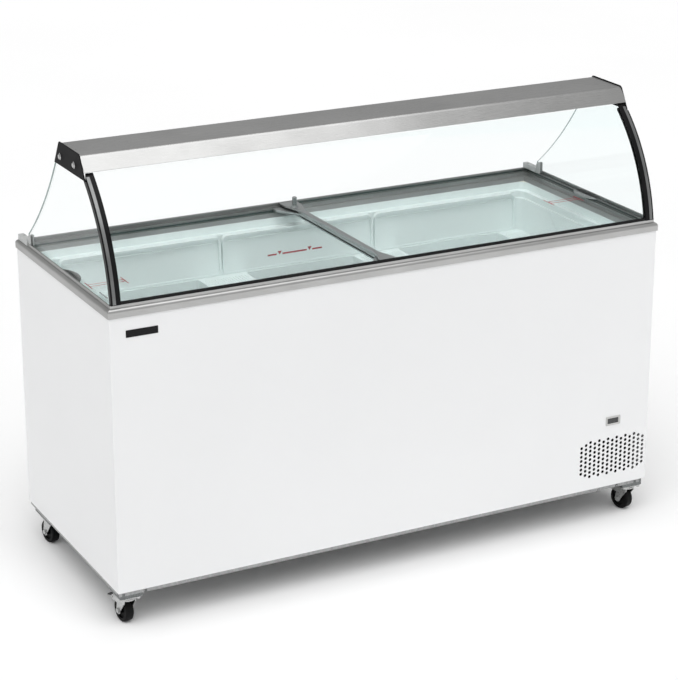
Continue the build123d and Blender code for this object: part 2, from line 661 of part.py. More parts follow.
for side, name in ((-1, "corner_profile_left"), (1, "corner_profile_right")):
    with BuildPart() as corner_profile:
        profile_x = side * (HALF_W - PROFILE_IN)
        with BuildSketch(Plane.YZ.offset(profile_x)):
            canopy_band(PROFILE_R, PROFILE_R - PROFILE_T, TRIM_Z + RIB_Z, FRONT_Y + 151)
        extrude(amount=-side * PROFILE_W)
        outer_x = sorted((side * HALF_W, side * (HALF_W - SIDE_GLASS_IN - SIDE_GLASS_T)))
        box(outer_x, (FRONT_Y, FRONT_Y + 200), (CAP_Z - 0.4, CAP_Z + 60), mode=Mode.SUBTRACT)
        add(front_glass.part, mode=Mode.SUBTRACT)
        add(corner_strips.part, mode=Mode.SUBTRACT)
    save(corner_profile, name)

GLASS_INNER_R = PROFILE_R - PROFILE_T
GLASS_LOW = TRIM_Z + LAND_Z
ARC_TOP = CAP_Z + 1.0
for side, name in ((-1, "side_glass_left"), (1, "side_glass_right")):
    with BuildPart() as side_glass:
        with BuildSketch(Plane.YZ.offset(side * (HALF_W - SIDE_GLASS_IN))):
            with BuildLine():
                foot = (arc_y(GLASS_INNER_R, GLASS_LOW), GLASS_LOW)
                middle = (arc_y(GLASS_INNER_R, TRIM_Z + 160), TRIM_Z + 160)
                arc_end = (arc_y(GLASS_INNER_R, ARC_TOP), ARC_TOP)
                ThreePointArc(foot, middle, arc_end)
                Polyline(
                    arc_end,
                    (FRONT_Y + 176, TRIM_Z + 337),
                    (FRONT_Y + 291, TRIM_Z + 337),
                    (FRONT_Y + 322, TRIM_Z + 288),
                    (FRONT_Y + 338, TRIM_Z + 288),
                )
                ThreePointArc(
                    (FRONT_Y + 338, TRIM_Z + 288),
                    (FRONT_Y + 435.3, TRIM_Z + 161.8),
                    (FRONT_Y + 553, TRIM_Z + 52),
                )
                Polyline((FRONT_Y + 553, TRIM_Z + 52), (FRONT_Y + 553, GLASS_LOW), foot)
            make_face()
        extrude(amount=-side * SIDE_GLASS_T)
    save(side_glass, name)

# ---------------------------------------------------------------- canopy cover and caps
COVER_HALF = HALF_W - SIDE_GLASS_IN
with BuildPart() as canopy_cover:
    with BuildSketch(Plane.YZ):
        with BuildLine():
            FilletPolyline(COVER_FRONT, COVER_BEND, COVER_REAR, COVER_SKIRT, radius=14)
            offset(amount=COVER_T, side=Side.RIGHT)
        make_face()
    extrude(amount=COVER_HALF, both=True)
save(canopy_cover, "canopy_cover")

CAP_OUTLINE = (
    (FRONT_Y + 138.5, CAP_Z),
    (FRONT_Y + 170.5, TRIM_Z + 346),
    (FRONT_Y + 303, TRIM_Z + 347),
    (FRONT_Y + 337, CAP_Z),
)
SCREW_SPOTS = ((FRONT_Y + 203, TRIM_Z + 313), (FRONT_Y + 294, TRIM_Z + 312))
for side, name in ((-1, "canopy_end_cap_left"), (1, "canopy_end_cap_right")):
    with BuildPart() as end_cap:
        with BuildSketch(Plane.YZ.offset(side * COVER_HALF)):
            with BuildLine():
                Polyline(*CAP_OUTLINE, close=True)
            make_face()
            fillet(vertices().group_by(Axis.Y)[1], 13)
            fillet(vertices().sort_by(Axis.Y)[-1], 9)
        extrude(amount=side * CAP_T)
        face = end_cap.faces().sort_by(Axis.X)[-1 if side > 0 else 0]
        chamfer(face.edges(), 0.8)
    save(end_cap, name)

with BuildPart() as canopy_screws:
    for side in (-1, 1):
        for spot in SCREW_SPOTS:
            with BuildSketch(Plane.YZ.offset(side * (COVER_HALF + CAP_T))):
                with Locations(spot):
                    Circle(8)
            extrude(amount=side * 1.2)
            with BuildSketch(Plane.YZ.offset(side * (COVER_HALF + CAP_T + 1.2))):
                with Locations(spot):
                    Circle(7.4)
            extrude(amount=side * 3.0, taper=38)
    for side in (-1, 1):
        for back in (20.0, 50.0):
            screw_x = side * (HALF_W - 14.0)
            with BuildSketch(Plane.XY.offset(TRIM_Z + 31.5)):
                with Locations((screw_x, REAR_Y - back)):
                    Circle(3.0)
            extrude(amount=1.8)
save(canopy_screws, "canopy_screws")

BLOCK_TOP = TRIM_Z + 36.0
for side, name in ((-1, "rear_bracket_left"), (1, "rear_bracket_right")):
    with BuildPart() as rear_bracket:
        block_x = sorted((side * (HALF_W - 3.0), side * (HALF_W - 19.0)))
        fin_x = sorted((side * (HALF_W - 6.0), side * (HALF_W - 16.5)))
        box(block_x, (REAR_Y - 68, REAR_Y - 3), (TRIM_Z + LAND_Z + 0.1, BLOCK_TOP))
        fillet(rear_bracket.edges().filter_by(Axis.Y).group_by(Axis.Z)[-1], 2)
        box(fin_x, (REAR_Y - 84, REAR_Y - 66), (TRIM_Z + LAND_Z + 0.1, TRIM_Z + 53))
        chamfer(rear_bracket.edges().filter_by(Axis.X).group_by(Axis.Z)[-1].sort_by(Axis.Y)[-1], 9)
        rib_x = sorted((side * (HALF_W - RIB_IN + 0.05), side * (HALF_W - RIB_IN - SIDE_RIB - 0.05)))
        box(rib_x, (0, REAR_Y), (TRIM_Z, TRIM_Z + RIB_Z + 0.05), mode=Mode.SUBTRACT)
        slot_x = sorted((side * (HALF_W - SIDE_GLASS_IN), side * (HALF_W - SIDE_GLASS_IN - SIDE_GLASS_T)))
        box(slot_x, (0, FRONT_Y + 553), (TRIM_Z, TRIM_Z + 80), mode=Mode.SUBTRACT)
        with Locations(*[(side * (HALF_W - 14), REAR_Y - back, BLOCK_TOP) for back in (20.0, 50.0)]):
            Cylinder(4.0, 9.0, mode=Mode.SUBTRACT)
    save(rear_bracket, name)

with BuildPart() as light_housing:
    box((-HALF_W + 60, HALF_W - 60), (FRONT_Y + 196, FRONT_Y + 262), (TRIM_Z + 322, TRIM_Z + 342))
    fillet(light_housing.edges().filter_by(Axis.X).group_by(Axis.Z)[0], 4)
    box((-HALF_W + 68, HALF_W - 68), (FRONT_Y + 202, FRONT_Y + 256), (TRIM_Z + 320, TRIM_Z + 338),
        mode=Mode.SUBTRACT)
save(light_housing, "light_housing")

with BuildPart() as light_diffuser:
    box((-HALF_W + 68, HALF_W - 68), (FRONT_Y + 202, FRONT_Y + 256), (TRIM_Z + 322.5, TRIM_Z + 325))
save(light_diffuser, "light_diffuser")

# ---------------------------------------------------------------- sliding lids
LID_T = 4.0
BEAM_LEFT = -11.0        # left face of both centre beams
LOW_GLASS_Z = TRIM_Z + LOWER_TRACK[2] + LID_GAP
UP_GLASS_Z = TRIM_Z + UPPER_TRACK[2] + LID_GAP
LOW_Y = HALF_D - LOWER_TRACK[0] - LID_GAP
UP_Y = HALF_D - UPPER_TRACK[0] - LID_GAP
LOW_BEAM_TOP = UP_GLASS_Z - 0.6
UP_BEAM_TOP = TRIM_Z + 22.0
LOCK_X = -9.0
LOCK_Y = REAR_Y - 63.0
LOCK_R = 6.2

with BuildPart() as left_lid_glass:
    low_x = (-HALF_W + LOWER_TRACK[0] + LID_GAP, BEAM_LEFT + 10)
    box(low_x, (-LOW_Y, LOW_Y), (LOW_GLASS_Z, LOW_GLASS_Z + LID_T))
save(left_lid_glass, "left_lid_glass")

with BuildPart() as right_lid_glass:
    up_x = (BEAM_LEFT + 4, HALF_W - UPPER_TRACK[0] - LID_GAP)
    box(up_x, (-UP_Y, UP_Y), (UP_GLASS_Z, UP_GLASS_Z + LID_T))
save(right_lid_glass, "right_lid_glass")

with BuildPart() as left_lid_beam:
    box((BEAM_LEFT, BEAM_LEFT + 13), (-LOW_Y, LOW_Y), (LOW_GLASS_Z, LOW_BEAM_TOP))
    inner_y = HALF_D - FRAME_IN - 1.5
    box((BEAM_LEFT, BEAM_LEFT + 13), (-inner_y, inner_y), (TRIM_Z + 1, LOW_GLASS_Z))
    for end in (-1, 1):
        with BuildSketch(Plane.XY.offset(LOW_GLASS_Z + LID_T)):
            with BuildLine():
                Polyline(
                    (BEAM_LEFT, end * (HALF_D - 104)),
                    (BEAM_LEFT - 44, end * (HALF_D - 44)),
                    (BEAM_LEFT - 44, end * LOW_Y),
                    (BEAM_LEFT, end * LOW_Y),
                    close=True,
                )
            make_face()
        extrude(amount=LOW_BEAM_TOP - LOW_GLASS_Z - LID_T)
    add(left_lid_glass.part, mode=Mode.SUBTRACT)
save(left_lid_beam, "left_lid_beam")

with BuildPart() as right_lid_beam:
    box((BEAM_LEFT, BEAM_LEFT + 14), (-UP_Y, UP_Y), (UP_GLASS_Z, UP_BEAM_TOP))
    fillet(right_lid_beam.edges().filter_by(Axis.Y).group_by(Axis.Z)[-1], 2.4)
    for end in (-1, 1):
        with BuildSketch(Plane.XY.offset(UP_GLASS_Z + LID_T)):
            with BuildLine():
                Polyline(
                    (BEAM_LEFT + 2, end * (HALF_D - 110)),
                    (BEAM_LEFT - 18, end * (HALF_D - 48)),
                    (BEAM_LEFT - 18, end * UP_Y),
                    (BEAM_LEFT + 30, end * UP_Y),
                    (BEAM_LEFT + 30, end * (HALF_D - 48)),
                    (BEAM_LEFT + 12, end * (HALF_D - 110)),
                    close=True,
                )
            make_face()
        extrude(amount=UP_BEAM_TOP - UP_GLASS_Z - LID_T)
    with BuildSketch(Plane.XY.offset(UP_BEAM_TOP)):
        with Locations((LOCK_X, LOCK_Y)):
            Circle(LOCK_R + 4.5)
    extrude(amount=5, taper=8)
    with BuildSketch(Plane.XY.offset(UP_GLASS_Z)):
        with Locations((LOCK_X, LOCK_Y)):
            Circle(LOCK_R + 0.06)
    extrude(amount=40, mode=Mode.SUBTRACT)
    add(right_lid_glass.part, mode=Mode.SUBTRACT)
save(right_lid_beam, "right_lid_beam")

with BuildPart() as lock_barrel:
    with BuildSketch(Plane.XY.offset(UP_GLASS_Z + LID_T + 0.6)):
        with Locations((LOCK_X, LOCK_Y)):
            Circle(LOCK_R)
    extrude(amount=TRIM_Z + 49 - UP_GLASS_Z - LID_T - 0.6)
    chamfer(lock_barrel.edges().group_by(Axis.Z)[-1], 1.2)
    with Locations((LOCK_X, LOCK_Y, TRIM_Z + 49)):
        Box(1.6, 7, 8, mode=Mode.SUBTRACT)
save(lock_barrel, "lock_barrel")

GRIP_CHORD = 110.0
GRIP_DEPTH = 22.0
GRIP_R = (GRIP_CHORD**2 / 4 + GRIP_DEPTH**2) / (2 * GRIP_DEPTH)
GRIPS = (                # name, side, outer edge of the lid, underside, thickness
    ("left_lid_grip", -1, HALF_W - LOWER_TRACK[0] - LID_GAP, LOW_GLASS_Z + LID_T, 4.6),
    ("right_lid_grip", 1, HALF_W - UPPER_TRACK[0] - LID_GAP, UP_GLASS_Z + LID_T, 3.6),
)
for name, side, edge, low_z, thick in GRIPS:
    with BuildPart() as lid_grip:
        with BuildSketch(Plane.XY.offset(low_z)):
            with Locations((side * (edge - GRIP_DEPTH + GRIP_R), 0)):
                Circle(GRIP_R)
            with Locations((side * (edge - GRIP_DEPTH / 2), 0)):
                Rectangle(GRIP_DEPTH, GRIP_CHORD + 10, mode=Mode.INTERSECT)
        extrude(amount=thick)
        top = lid_grip.faces().sort_by(Axis.Z)[-1]
        chamfer(top.edges(), 1.2)
        recess_x = sorted((side * edge, side * (edge - 9)))
        box(recess_x, (-34, 34), (low_z + 1.4, low_z + thick), mode=Mode.SUBTRACT)
    save(lid_grip, name)

# ---------------------------------------------------------------- castors
LEG_IN = WHEEL_W / 2 + 3.0
LEG_T = 2.5
PEDAL_Y = 41.0
PEDAL_Z = 57.0
for name, (x, y, angle) in CASTORS.items():
    braked = name.startswith("front")
    place = Plane(origin=(x, y, 0), x_dir=(cos(radians(angle)), sin(radians(angle)), 0))
    side_plane = Plane(origin=place.origin, x_dir=place.y_dir, z_dir=place.x_dir)

    with BuildPart() as fork:
        with BuildSketch(place.offset(CROWN_TOP - CROWN_T)):
            Circle(21)
            Circle(PIN_R + 0.06, mode=Mode.SUBTRACT)
        extrude(amount=CROWN_T)
        for leg in (-1, 1):
            with BuildSketch(side_plane.offset(leg * LEG_IN)):
                with BuildLine():
                    Polyline(
                        (-14, CROWN_TOP - 0.5),
                        (-12, CROWN_TOP - 12),
                        (TRAIL - 9, WHEEL_R),
                        (TRAIL + 9, WHEEL_R),
                        (18, CROWN_TOP - 0.5),
                        close=True,
                    )
                make_face()
                with Locations((TRAIL, WHEEL_R)):
                    Circle(9)
                if braked:
                    with BuildLine():
                        Polyline(
                            (10, 63),
                            (PEDAL_Y, PEDAL_Z + 6),
                            (PEDAL_Y, PEDAL_Z - 6),
                            (14, 48),
                            close=True,
                        )
                    make_face()
                    with Locations((PEDAL_Y, PEDAL_Z)):
                        Circle(6)
                        Circle(2.06, mode=Mode.SUBTRACT)
                with Locations((TRAIL, WHEEL_R)):
                    Circle(AXLE_R + 0.05, mode=Mode.SUBTRACT)
            extrude(amount=leg * LEG_T)
        axle_half = LEG_IN + LEG_T
        with BuildSketch(side_plane):
            with Locations((TRAIL, WHEEL_R)):
                Circle(AXLE_R)
        extrude(amount=axle_half, both=True)
        for end in (-1, 1):
            with BuildSketch(side_plane.offset(end * axle_half)):
                with Locations((TRAIL, WHEEL_R)):
                    RegularPolygon(6.5, 6)
            extrude(amount=end * 3.5)
    save(fork, f"castor_fork_{name}")

    with BuildPart() as wheel:
        with BuildSketch(side_plane):
            with Locations((TRAIL, WHEEL_R)):
                Circle(WHEEL_R)
        extrude(amount=WHEEL_W / 2, both=True)
        fillet(wheel.edges().filter_by(GeomType.CIRCLE), 3.5)
        for end in (-1, 1):
            with BuildSketch(side_plane.offset(end * WHEEL_W / 2)):
                with Locations((TRAIL, WHEEL_R)):
                    Circle(21)
                    Circle(9, mode=Mode.SUBTRACT)
            extrude(amount=-end * 4.5, mode=Mode.SUBTRACT)
            with BuildSketch(side_plane.offset(end * WHEEL_W / 2)):
                with Locations((TRAIL, WHEEL_R)):
                    Circle(8)
            extrude(amount=end * 2.4)
        with BuildSketch(side_plane):
            with Locations((TRAIL, WHEEL_R)):
                Circle(AXLE_R + 0.06)
        extrude(amount=WHEEL_W, both=True, mode=Mode.SUBTRACT)
    save(wheel, f"castor_wheel_{name}")

    if braked:
        with BuildPart() as pedal:
            with BuildSketch(side_plane):
                with BuildLine():
                    Polyline(
                        (PEDAL_Y - 4, PEDAL_Z - 1.5),
                        (PEDAL_Y - 2, PEDAL_Z + 4),
                        (PEDAL_Y + 14, PEDAL_Z + 3),
                        (PEDAL_Y + 30, PEDAL_Z - 4),
                        (PEDAL_Y + 30, PEDAL_Z - 7.5),
                        (PEDAL_Y + 12, PEDAL_Z - 2.5),
                        close=True,
                    )
                make_face()
            extrude(amount=LEG_IN - 0.6, both=True)
            fillet(pedal.faces().sort_by(Axis.Z)[-1].edges(), 0.8)
            with BuildSketch(side_plane):
                with Locations((PEDAL_Y, PEDAL_Z)):
                    Circle(2)
            extrude(amount=LEG_IN + LEG_T, both=True)
        save(pedal, f"castor_brake_{name}")
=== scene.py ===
import json
import math

import bmesh
import bpy
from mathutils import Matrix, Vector


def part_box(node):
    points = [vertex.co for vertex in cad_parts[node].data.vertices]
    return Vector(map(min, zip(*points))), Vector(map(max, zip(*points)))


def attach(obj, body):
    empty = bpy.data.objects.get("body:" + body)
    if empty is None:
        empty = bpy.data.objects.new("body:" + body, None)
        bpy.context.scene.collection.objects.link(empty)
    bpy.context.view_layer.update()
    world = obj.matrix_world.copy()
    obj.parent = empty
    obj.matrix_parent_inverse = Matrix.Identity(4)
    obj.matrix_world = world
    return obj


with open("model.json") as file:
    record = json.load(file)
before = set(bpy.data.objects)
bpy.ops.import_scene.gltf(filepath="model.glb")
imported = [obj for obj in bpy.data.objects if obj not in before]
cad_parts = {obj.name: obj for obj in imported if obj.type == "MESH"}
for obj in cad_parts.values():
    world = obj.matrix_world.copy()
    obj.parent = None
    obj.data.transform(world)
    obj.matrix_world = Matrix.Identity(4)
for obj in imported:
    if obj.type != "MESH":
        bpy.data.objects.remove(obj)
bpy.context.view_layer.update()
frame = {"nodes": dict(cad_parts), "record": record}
nodes = frame["nodes"]

MM = 0.001               # millimetre, in Blender's metres


# ---------------------------------------------------------------- node helpers
def new_material(name):
    """An empty material with one Principled shader, and that shader."""
    material = bpy.data.materials.new(name)
    material.use_nodes = True
    tree = material.node_tree
    tree.nodes.clear()
    shader = tree.nodes.new("ShaderNodeBsdfPrincipled")
    output = tree.nodes.new("ShaderNodeOutputMaterial")
    tree.links.new(shader.outputs["BSDF"], output.inputs["Surface"])
    return material, shader


def coordinates(tree, stretch=(1, 1, 1)):
    """Object coordinates, with each axis multiplied by its stretch."""
    source = tree.nodes.new("ShaderNodeTexCoord")
    mapping = tree.nodes.new("ShaderNodeMapping")
    mapping.inputs["Scale"].default_value = stretch
    tree.links.new(source.outputs["Object"], mapping.inputs["Vector"])
    return mapping.outputs["Vector"]


def noise(tree, scale, detail=2.0, stretch=(1, 1, 1)):
    """Noise of scale features a metre, from 0 to 1."""
    texture = tree.nodes.new("ShaderNodeTexNoise")
    texture.inputs["Scale"].default_value = scale
    texture.inputs["Detail"].default_value = detail
    tree.links.new(coordinates(tree, stretch), texture.inputs["Vector"])
    return texture.outputs["Fac"]


def cells(tree, scale, output="Color"):
    """Voronoi cells, scale of them a metre."""
    texture = tree.nodes.new("ShaderNodeTexVoronoi")
    texture.inputs["Scale"].default_value = scale
    tree.links.new(coordinates(tree), texture.inputs["Vector"])
    return texture.outputs[output]


def ramp(tree, value, low, high, start=0.3, end=0.7):
    """Colour from low to high as value goes from start to end."""
    node = tree.nodes.new("ShaderNodeValToRGB")
    node.color_ramp.elements[0].position = start
    node.color_ramp.elements[1].position = end
    node.color_ramp.elements[0].color = (*low, 1)
    node.color_ramp.elements[1].color = (*high, 1)
    tree.links.new(value, node.inputs["Fac"])
    return node.outputs["Color"]


def spread(tree, value, low, high, start=0.3, end=0.7):
    """Number from low to high as value goes from start to end."""
    node = tree.nodes.new("ShaderNodeMapRange")
    for socket, number in zip(("From Min", "From Max", "To Min", "To Max"), (start, end, low, high)):
        node.inputs[socket].default_value = number
    tree.links.new(value, node.inputs["Value"])
    return node.outputs["Result"]


def relief(tree, shader, height, depth, strength=1.0, under=None):
    """Bump of that depth in metres on the shader, over an earlier bump if there is one."""
    node = tree.nodes.new("ShaderNodeBump")
    node.inputs["Strength"].default_value = strength
    node.inputs["Distance"].default_value = depth
    tree.links.new(height, node.inputs["Height"])
    if under is not None:
        tree.links.new(under, node.inputs["Normal"])
    tree.links.new(node.outputs["Normal"], shader.inputs["Normal"])
    return node.outputs["Normal"]


def set_fixed(shader, fixed):
    """Set sockets that are the same all over; _ may stand for a space in a name."""
    for socket, number in fixed.items():
        shader.inputs[socket.replace("_", " ")].default_value = number


def finish(name, dark, light, rough, cloud=6, grain=900, depth=0.03, stretch=(1, 1, 1),
           metallic=0.0, strength=0.35, waves=None, **fixed):
    """A finish with slow colour drift, and fine grain in its roughness and relief.

    cloud and grain are features a metre, and depth is the relief in millimetres.
    waves is (scale, depth in mm) for a slow unevenness of the surface.
    """
    material, shader = new_material(name)
    tree = material.node_tree
    drift = noise(tree, cloud, detail=4.0)
    fine = noise(tree, grain, detail=3.0, stretch=stretch)
    tree.links.new(ramp(tree, drift, dark, light), shader.inputs["Base Color"])
    tree.links.new(spread(tree, fine, *rough), shader.inputs["Roughness"])
    under = None
    if waves:
        waves_a_metre, wave_depth = waves
        slow = noise(tree, waves_a_metre, detail=1.0)
        under = relief(tree, shader, slow, wave_depth * MM, strength=0.6)
    relief(tree, shader, fine, depth * MM, strength, under)
    set_fixed(shader, {"Metallic": metallic, **fixed})
    return material


X, Y = 0, 1
LINE_STRETCH = 0.012     # features a metre along the lines, over those across them


def grained(name, dark, light, rough, axis, across=1400, depth=0.008):
    """A metal with fine lines along X or Y."""
    stretch = [1.0, 1.0, 1.0]
    stretch[axis] = LINE_STRETCH
    return finish(name, dark, light, rough, grain=across, depth=depth, stretch=stretch,
                  metallic=1.0, strength=0.3)


def spangled(name, dark, light, rough, size):
    """Zinc-coated sheet, whose crystals differ in tone and gloss."""
    material, shader = new_material(name)
    tree = material.node_tree
    crystal = cells(tree, size)
    fine = noise(tree, 1200)
    tree.links.new(ramp(tree, crystal, dark, light, start=0.1, end=0.9), shader.inputs["Base Color"])
    tree.links.new(spread(tree, crystal, *rough, start=0.1, end=0.9), shader.inputs["Roughness"])
    relief(tree, shader, fine, 0.01 * MM, strength=0.25)
    set_fixed(shader, {"Metallic": 1.0})
    return material


GLASS_CLEAR = 0.10       # how opaque a pane is where it is seen square on
GLASS_SLANT = 0.55       # and at a grazing angle
GLASS_EDGE = 0.9         # and on its ground edges


def glass(name, face_axes, tint, edge):
    """Tempered glass, with its ground edges darker and greener than its faces.

    face_axes are the axes that the big faces' normals lie along.
    """
    material, shader = new_material(name)
    tree = material.node_tree
    source = tree.nodes.new("ShaderNodeTexCoord")
    mask = tree.nodes.new("ShaderNodeVectorMath")
    mask.operation = "MULTIPLY"
    mask.inputs[1].default_value = [float(axis in face_axes) for axis in "XYZ"]
    length = tree.nodes.new("ShaderNodeVectorMath")
    length.operation = "LENGTH"
    tree.links.new(source.outputs["Normal"], mask.inputs[0])
    tree.links.new(mask.outputs["Vector"], length.inputs[0])
    face = length.outputs["Value"]
    slant = tree.nodes.new("ShaderNodeLayerWeight")
    slant.inputs["Blend"].default_value = 0.35
    mirrored = spread(tree, slant.outputs["Fresnel"], GLASS_CLEAR, GLASS_SLANT,
                      start=0.04, end=0.8)
    choice = tree.nodes.new("ShaderNodeMix")
    choice.inputs["A"].default_value = GLASS_EDGE
    tree.links.new(spread(tree, face, 0.0, 1.0, start=0.6, end=0.8), choice.inputs["Factor"])
    tree.links.new(mirrored, choice.inputs["B"])
    tree.links.new(choice.outputs["Result"], shader.inputs["Alpha"])
    tree.links.new(ramp(tree, face, edge, tint, start=0.6, end=0.8), shader.inputs["Base Color"])
    smears = noise(tree, 5, detail=5.0)
    tree.links.new(spread(tree, smears, 0.0, 0.03), shader.inputs["Roughness"])
    relief(tree, shader, noise(tree, 3, detail=1.0), 0.05 * MM, strength=0.15)
    set_fixed(shader, {
        "Transmission Weight": 1.0,
        "IOR": 1.0,          # no bend: a pane's two faces cancel, and the coat gives the gloss
        "Coat Weight": 1.0,
        "Coat Roughness": 0.01,
    })
    return material


def foam(name):
    """Rigid polyurethane foam: a cellular, faintly mottled cream."""
    material, shader = new_material(name)
    tree = material.node_tree
    pores = cells(tree, 700, "Distance")
    mottle = ramp(tree, noise(tree, 25, detail=5.0), (0.74, 0.71, 0.60), (0.84, 0.82, 0.73))
    tree.links.new(mottle, shader.inputs["Base Color"])
    tree.links.new(spread(tree, pores, 0.75, 0.95), shader.inputs["Roughness"])
    relief(tree, shader, pores, 0.3 * MM, strength=0.8)
    return material


# ---------------------------------------------------------------- finishes, by material slot
BLACK = (0.004, 0.004, 0.0045)
GREEN_EDGE = (0.03, 0.06, 0.055)
FINISHES = {
    "white_panel": finish("white_powder_coat", (0.80, 0.805, 0.81), (0.83, 0.835, 0.84),
                          (0.34, 0.44), cloud=1.2, grain=620, depth=0.04, strength=0.3,
                          Coat_Weight=0.12),
    "galvanised_steel": spangled("galvanised_sheet", (0.30, 0.305, 0.305), (0.42, 0.425, 0.425),
                                 (0.34, 0.52), 160),
    "compressor_shell": finish("compressor_enamel", BLACK, (0.018, 0.018, 0.02), (0.20, 0.32),
                               cloud=20, grain=420, depth=0.08, Coat_Weight=0.4),
    "foam": foam("polyurethane_foam"),
    "liner_white": finish("liner_plastic", (0.82, 0.89, 0.88), (0.86, 0.92, 0.91), (0.22, 0.34),
                          cloud=2.0, grain=700, depth=0.02, strength=0.25, waves=(5, 0.3)),
    "frame_silver": grained("frame_extrusion_x", (0.46, 0.46, 0.455), (0.54, 0.54, 0.535),
                            (0.30, 0.42), X),
    "badge_black": finish("badge_gloss", BLACK, (0.008, 0.008, 0.009), (0.22, 0.32), grain=1500,
                          depth=0.004, Specular_IOR_Level=0.2),
    "bezel_grey": finish("bezel_plastic", (0.50, 0.50, 0.49), (0.56, 0.56, 0.55), (0.38, 0.50),
                         cloud=40, grain=2600, depth=0.02),
    "display_dark": finish("display_window", (0.010, 0.012, 0.012), (0.020, 0.022, 0.022),
                           (0.06, 0.12), cloud=60, grain=1500, depth=0.003, Coat_Weight=0.6),
    "rubber_black": finish("seal_rubber", BLACK, (0.008, 0.008, 0.008), (0.55, 0.75), cloud=20,
                           grain=1600, depth=0.04, Specular_IOR_Level=0.2),
    "copper": finish("copper_tube", (0.62, 0.30, 0.18), (0.80, 0.45, 0.30), (0.22, 0.42), cloud=30,
                     grain=900, depth=0.02, metallic=1.0),
    "coil_black": finish("coil_coating", BLACK, (0.008, 0.008, 0.008), (0.50, 0.65), cloud=50,
                         grain=1200, Specular_IOR_Level=0.2),
    "fan_plastic": finish("fan_moulding", (0.012, 0.012, 0.012), (0.024, 0.024, 0.024),
                          (0.40, 0.55), cloud=25, grain=2200, depth=0.03),
    "electrical_grey": finish("electrical_moulding", (0.10, 0.105, 0.11), (0.14, 0.145, 0.15),
                              (0.45, 0.60), cloud=25, grain=2400, depth=0.03),
    "stainless": grained("brushed_stainless", (0.44, 0.44, 0.435), (0.52, 0.52, 0.515),
                         (0.24, 0.36), X, across=2400, depth=0.012),
    "cap_black": finish("end_cap_moulding", BLACK, (0.008, 0.008, 0.0085), (0.42, 0.56), cloud=25,
                        grain=2600, depth=0.05, IOR=1.13),
    "chrome_screw": finish("screw_chrome", (0.34, 0.34, 0.34), (0.48, 0.48, 0.48), (0.10, 0.24),
                           cloud=200, grain=1800, depth=0.005, metallic=1.0),
    "clear_glass": glass("canopy_glass", "X", (0.94, 1.0, 1.0), GREEN_EDGE),
    "profile_black": finish("profile_anodised", BLACK, (0.009, 0.009, 0.0095), (0.28, 0.40),
                            cloud=15, grain=1800, depth=0.02, IOR=1.22),
    "strip_satin": finish("strip_anodised", (0.20, 0.205, 0.205), (0.28, 0.285, 0.285),
                          (0.26, 0.38), cloud=20, grain=1800, depth=0.01, metallic=0.9),
    # Painted shade: a white moulding given a mid grey, so that it shows shading the light alone
    # doesn't give it.
    "bracket_white": finish("bracket_moulding_painted_shade", (0.42, 0.435, 0.43), (0.48, 0.49, 0.485),
                            (0.36, 0.48), cloud=30, grain=2400, depth=0.03),
    "diffuser": finish("opal_diffuser", (0.82, 0.83, 0.82), (0.88, 0.885, 0.88), (0.30, 0.42),
                       cloud=10, grain=1500, depth=0.02),
    "lid_grey": grained("lid_extrusion_y", (0.44, 0.455, 0.455), (0.52, 0.535, 0.535), (0.30, 0.44),
                        Y),
    "lock_metal": finish("lock_die_cast", (0.30, 0.31, 0.31), (0.38, 0.39, 0.39), (0.22, 0.36),
                         cloud=120, grain=2200, depth=0.02, metallic=1.0),
    "zinc_fork": spangled("bright_zinc", (0.48, 0.485, 0.485), (0.56, 0.565, 0.56), (0.24, 0.34),
                          650),
    "wheel_black": finish("wheel_tyre", BLACK, (0.007, 0.007, 0.0068), (0.42, 0.58), cloud=60,
                          grain=1500, depth=0.06, IOR=1.20),
    "brake_black": finish("pedal_moulding", BLACK, (0.010, 0.010, 0.010), (0.40, 0.54), cloud=60,
                          grain=2400, depth=0.04, Specular_IOR_Level=0.3),
}
BY_NODE = {              # nodes that differ from the rest of their slot
    # Painted shade: the side bars are the front bar's extrusion, given a darker colour to stand in
    # for the shade on them.
    "top_frame_left": grained("frame_extrusion_y_painted_shade", (0.34, 0.34, 0.335), (0.41, 0.41, 0.405),
                              (0.32, 0.44), Y),
    # Painted shade: the brackets' zinc is darker than the base's sheet, standing in for the shade
    # under the cabinet.
    "castor_brackets": spangled("bracket_zinc_painted_shade", (0.16, 0.17, 0.17), (0.25, 0.26, 0.26),
                                (0.38, 0.54), 260),
    # Painted shade: the rear bar is the same extrusion, given a darker colour to stand in for the
    # shade it lies in behind the glass.
    "top_frame_rear": grained("frame_extrusion_rear_painted_shade", (0.34, 0.345, 0.34), (0.41, 0.415, 0.41),
                              (0.34, 0.46), X),
    "front_glass": glass("front_glass", "YZ", (0.84, 1.0, 1.0), GREEN_EDGE),
    "left_lid_glass": glass("lid_glass", "Z", (0.93, 0.99, 0.985), (0.12, 0.22, 0.20)),
    "left_lid_grip": finish("left_grip_moulding", (0.07, 0.075, 0.075), (0.11, 0.115, 0.115),
                            (0.36, 0.50), cloud=40, grain=2400, depth=0.04),
    "right_lid_grip": finish("right_grip_moulding", (0.26, 0.275, 0.275), (0.32, 0.335, 0.335),
                             (0.34, 0.46), cloud=40, grain=2400, depth=0.04),
}
BY_NODE["top_frame_right"] = BY_NODE["top_frame_left"]
BY_NODE["right_lid_glass"] = BY_NODE["left_lid_glass"]

for part in frame["record"]["subparts"]:
    node = nodes[part["node"]]
    chosen = BY_NODE.get(part["node"], FINISHES[part["material_slot"]])
    if node.material_slots:
        for place in node.material_slots:
            place.material = chosen
    else:
        node.data.materials.append(chosen)


